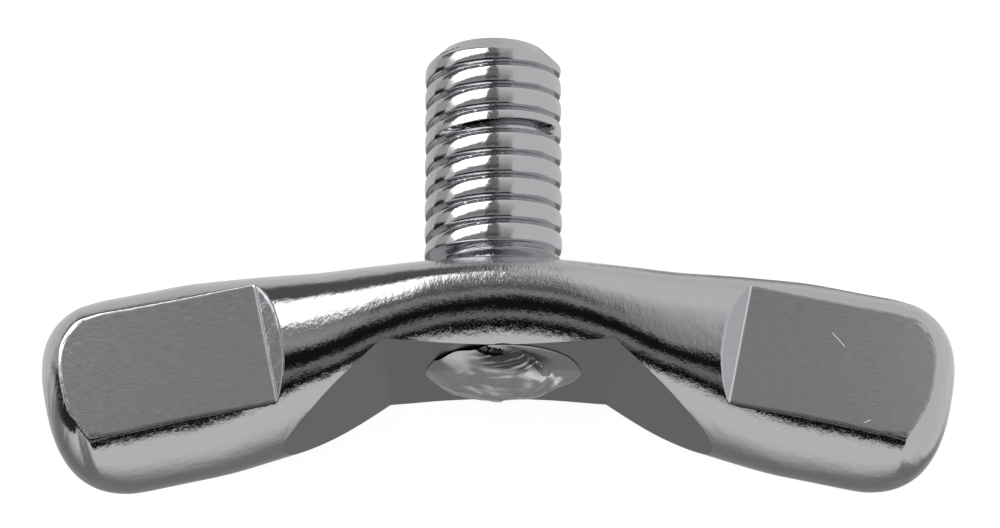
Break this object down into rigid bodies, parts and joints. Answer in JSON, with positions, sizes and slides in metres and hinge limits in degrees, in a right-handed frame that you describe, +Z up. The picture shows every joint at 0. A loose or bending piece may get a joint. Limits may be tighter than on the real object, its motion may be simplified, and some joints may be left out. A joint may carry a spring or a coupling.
{
  "type": "thumb screw",
  "caption": "Chrome thumb screw with a bowed bar body, finger flats on both wings, a notch under the middle and a riveted threaded stud.",
  "frame": {"origin": "centre of the bounding box at its base, on the surface the screw lies on", "axes": "+X along the wings, to the right with the front face up; +Y towards the stud's tip; +Z up from the table. The screw lies on its back and the tip of its stud, so the stud points 14.8 degrees below +Y."},
  "size_m": [0.038, 0.0194, 0.0119],
  "materials": {
    "body_chrome": "polished, with satin finger flats and a satin notch",
    "stud_chrome": "polished"
  },
  "bodies": {
    "root": {"wing_body": "body_chrome", "threaded_stud": "stud_chrome"}
  },
  "joints": []
}
